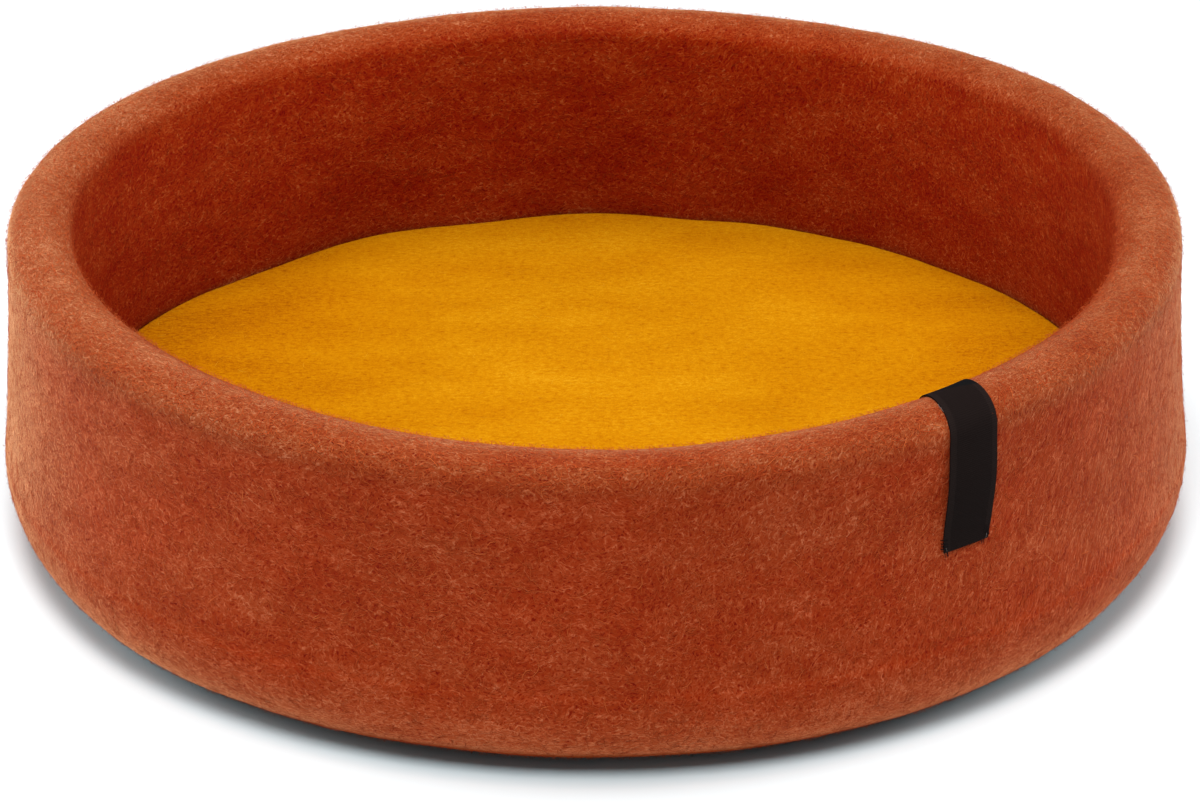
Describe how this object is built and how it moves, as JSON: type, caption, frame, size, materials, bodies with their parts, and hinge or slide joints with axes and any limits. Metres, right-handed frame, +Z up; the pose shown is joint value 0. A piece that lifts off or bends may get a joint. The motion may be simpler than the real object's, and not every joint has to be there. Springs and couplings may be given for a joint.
{
  "type": "felt dog basket",
  "caption": "Round felted wool dog basket: a thick-walled open bowl with a rounded rim, a loose felt mat on its floor and a plain woven label folded over the rim.",
  "frame": {"origin": "on the floor under the middle of the basket's base", "axes": "+Z up out of the open top, -Y the front; the label is on the front right, about 35 degrees from -Y towards +X"},
  "size_m": [0.5526, 0.552, 0.1527],
  "materials": {
    "rust_felt": "matt, fuzzy felted wool in rust orange with darker and lighter fibres",
    "mustard_felt": "matt, smoother pressed wool felt in mustard yellow",
    "black_ribbon": "matt black woven ribbon"
  },
  "bodies": {
    "root": {"basket": "rust_felt", "mat": "mustard_felt", "label": "black_ribbon"}
  },
  "joints": []
}
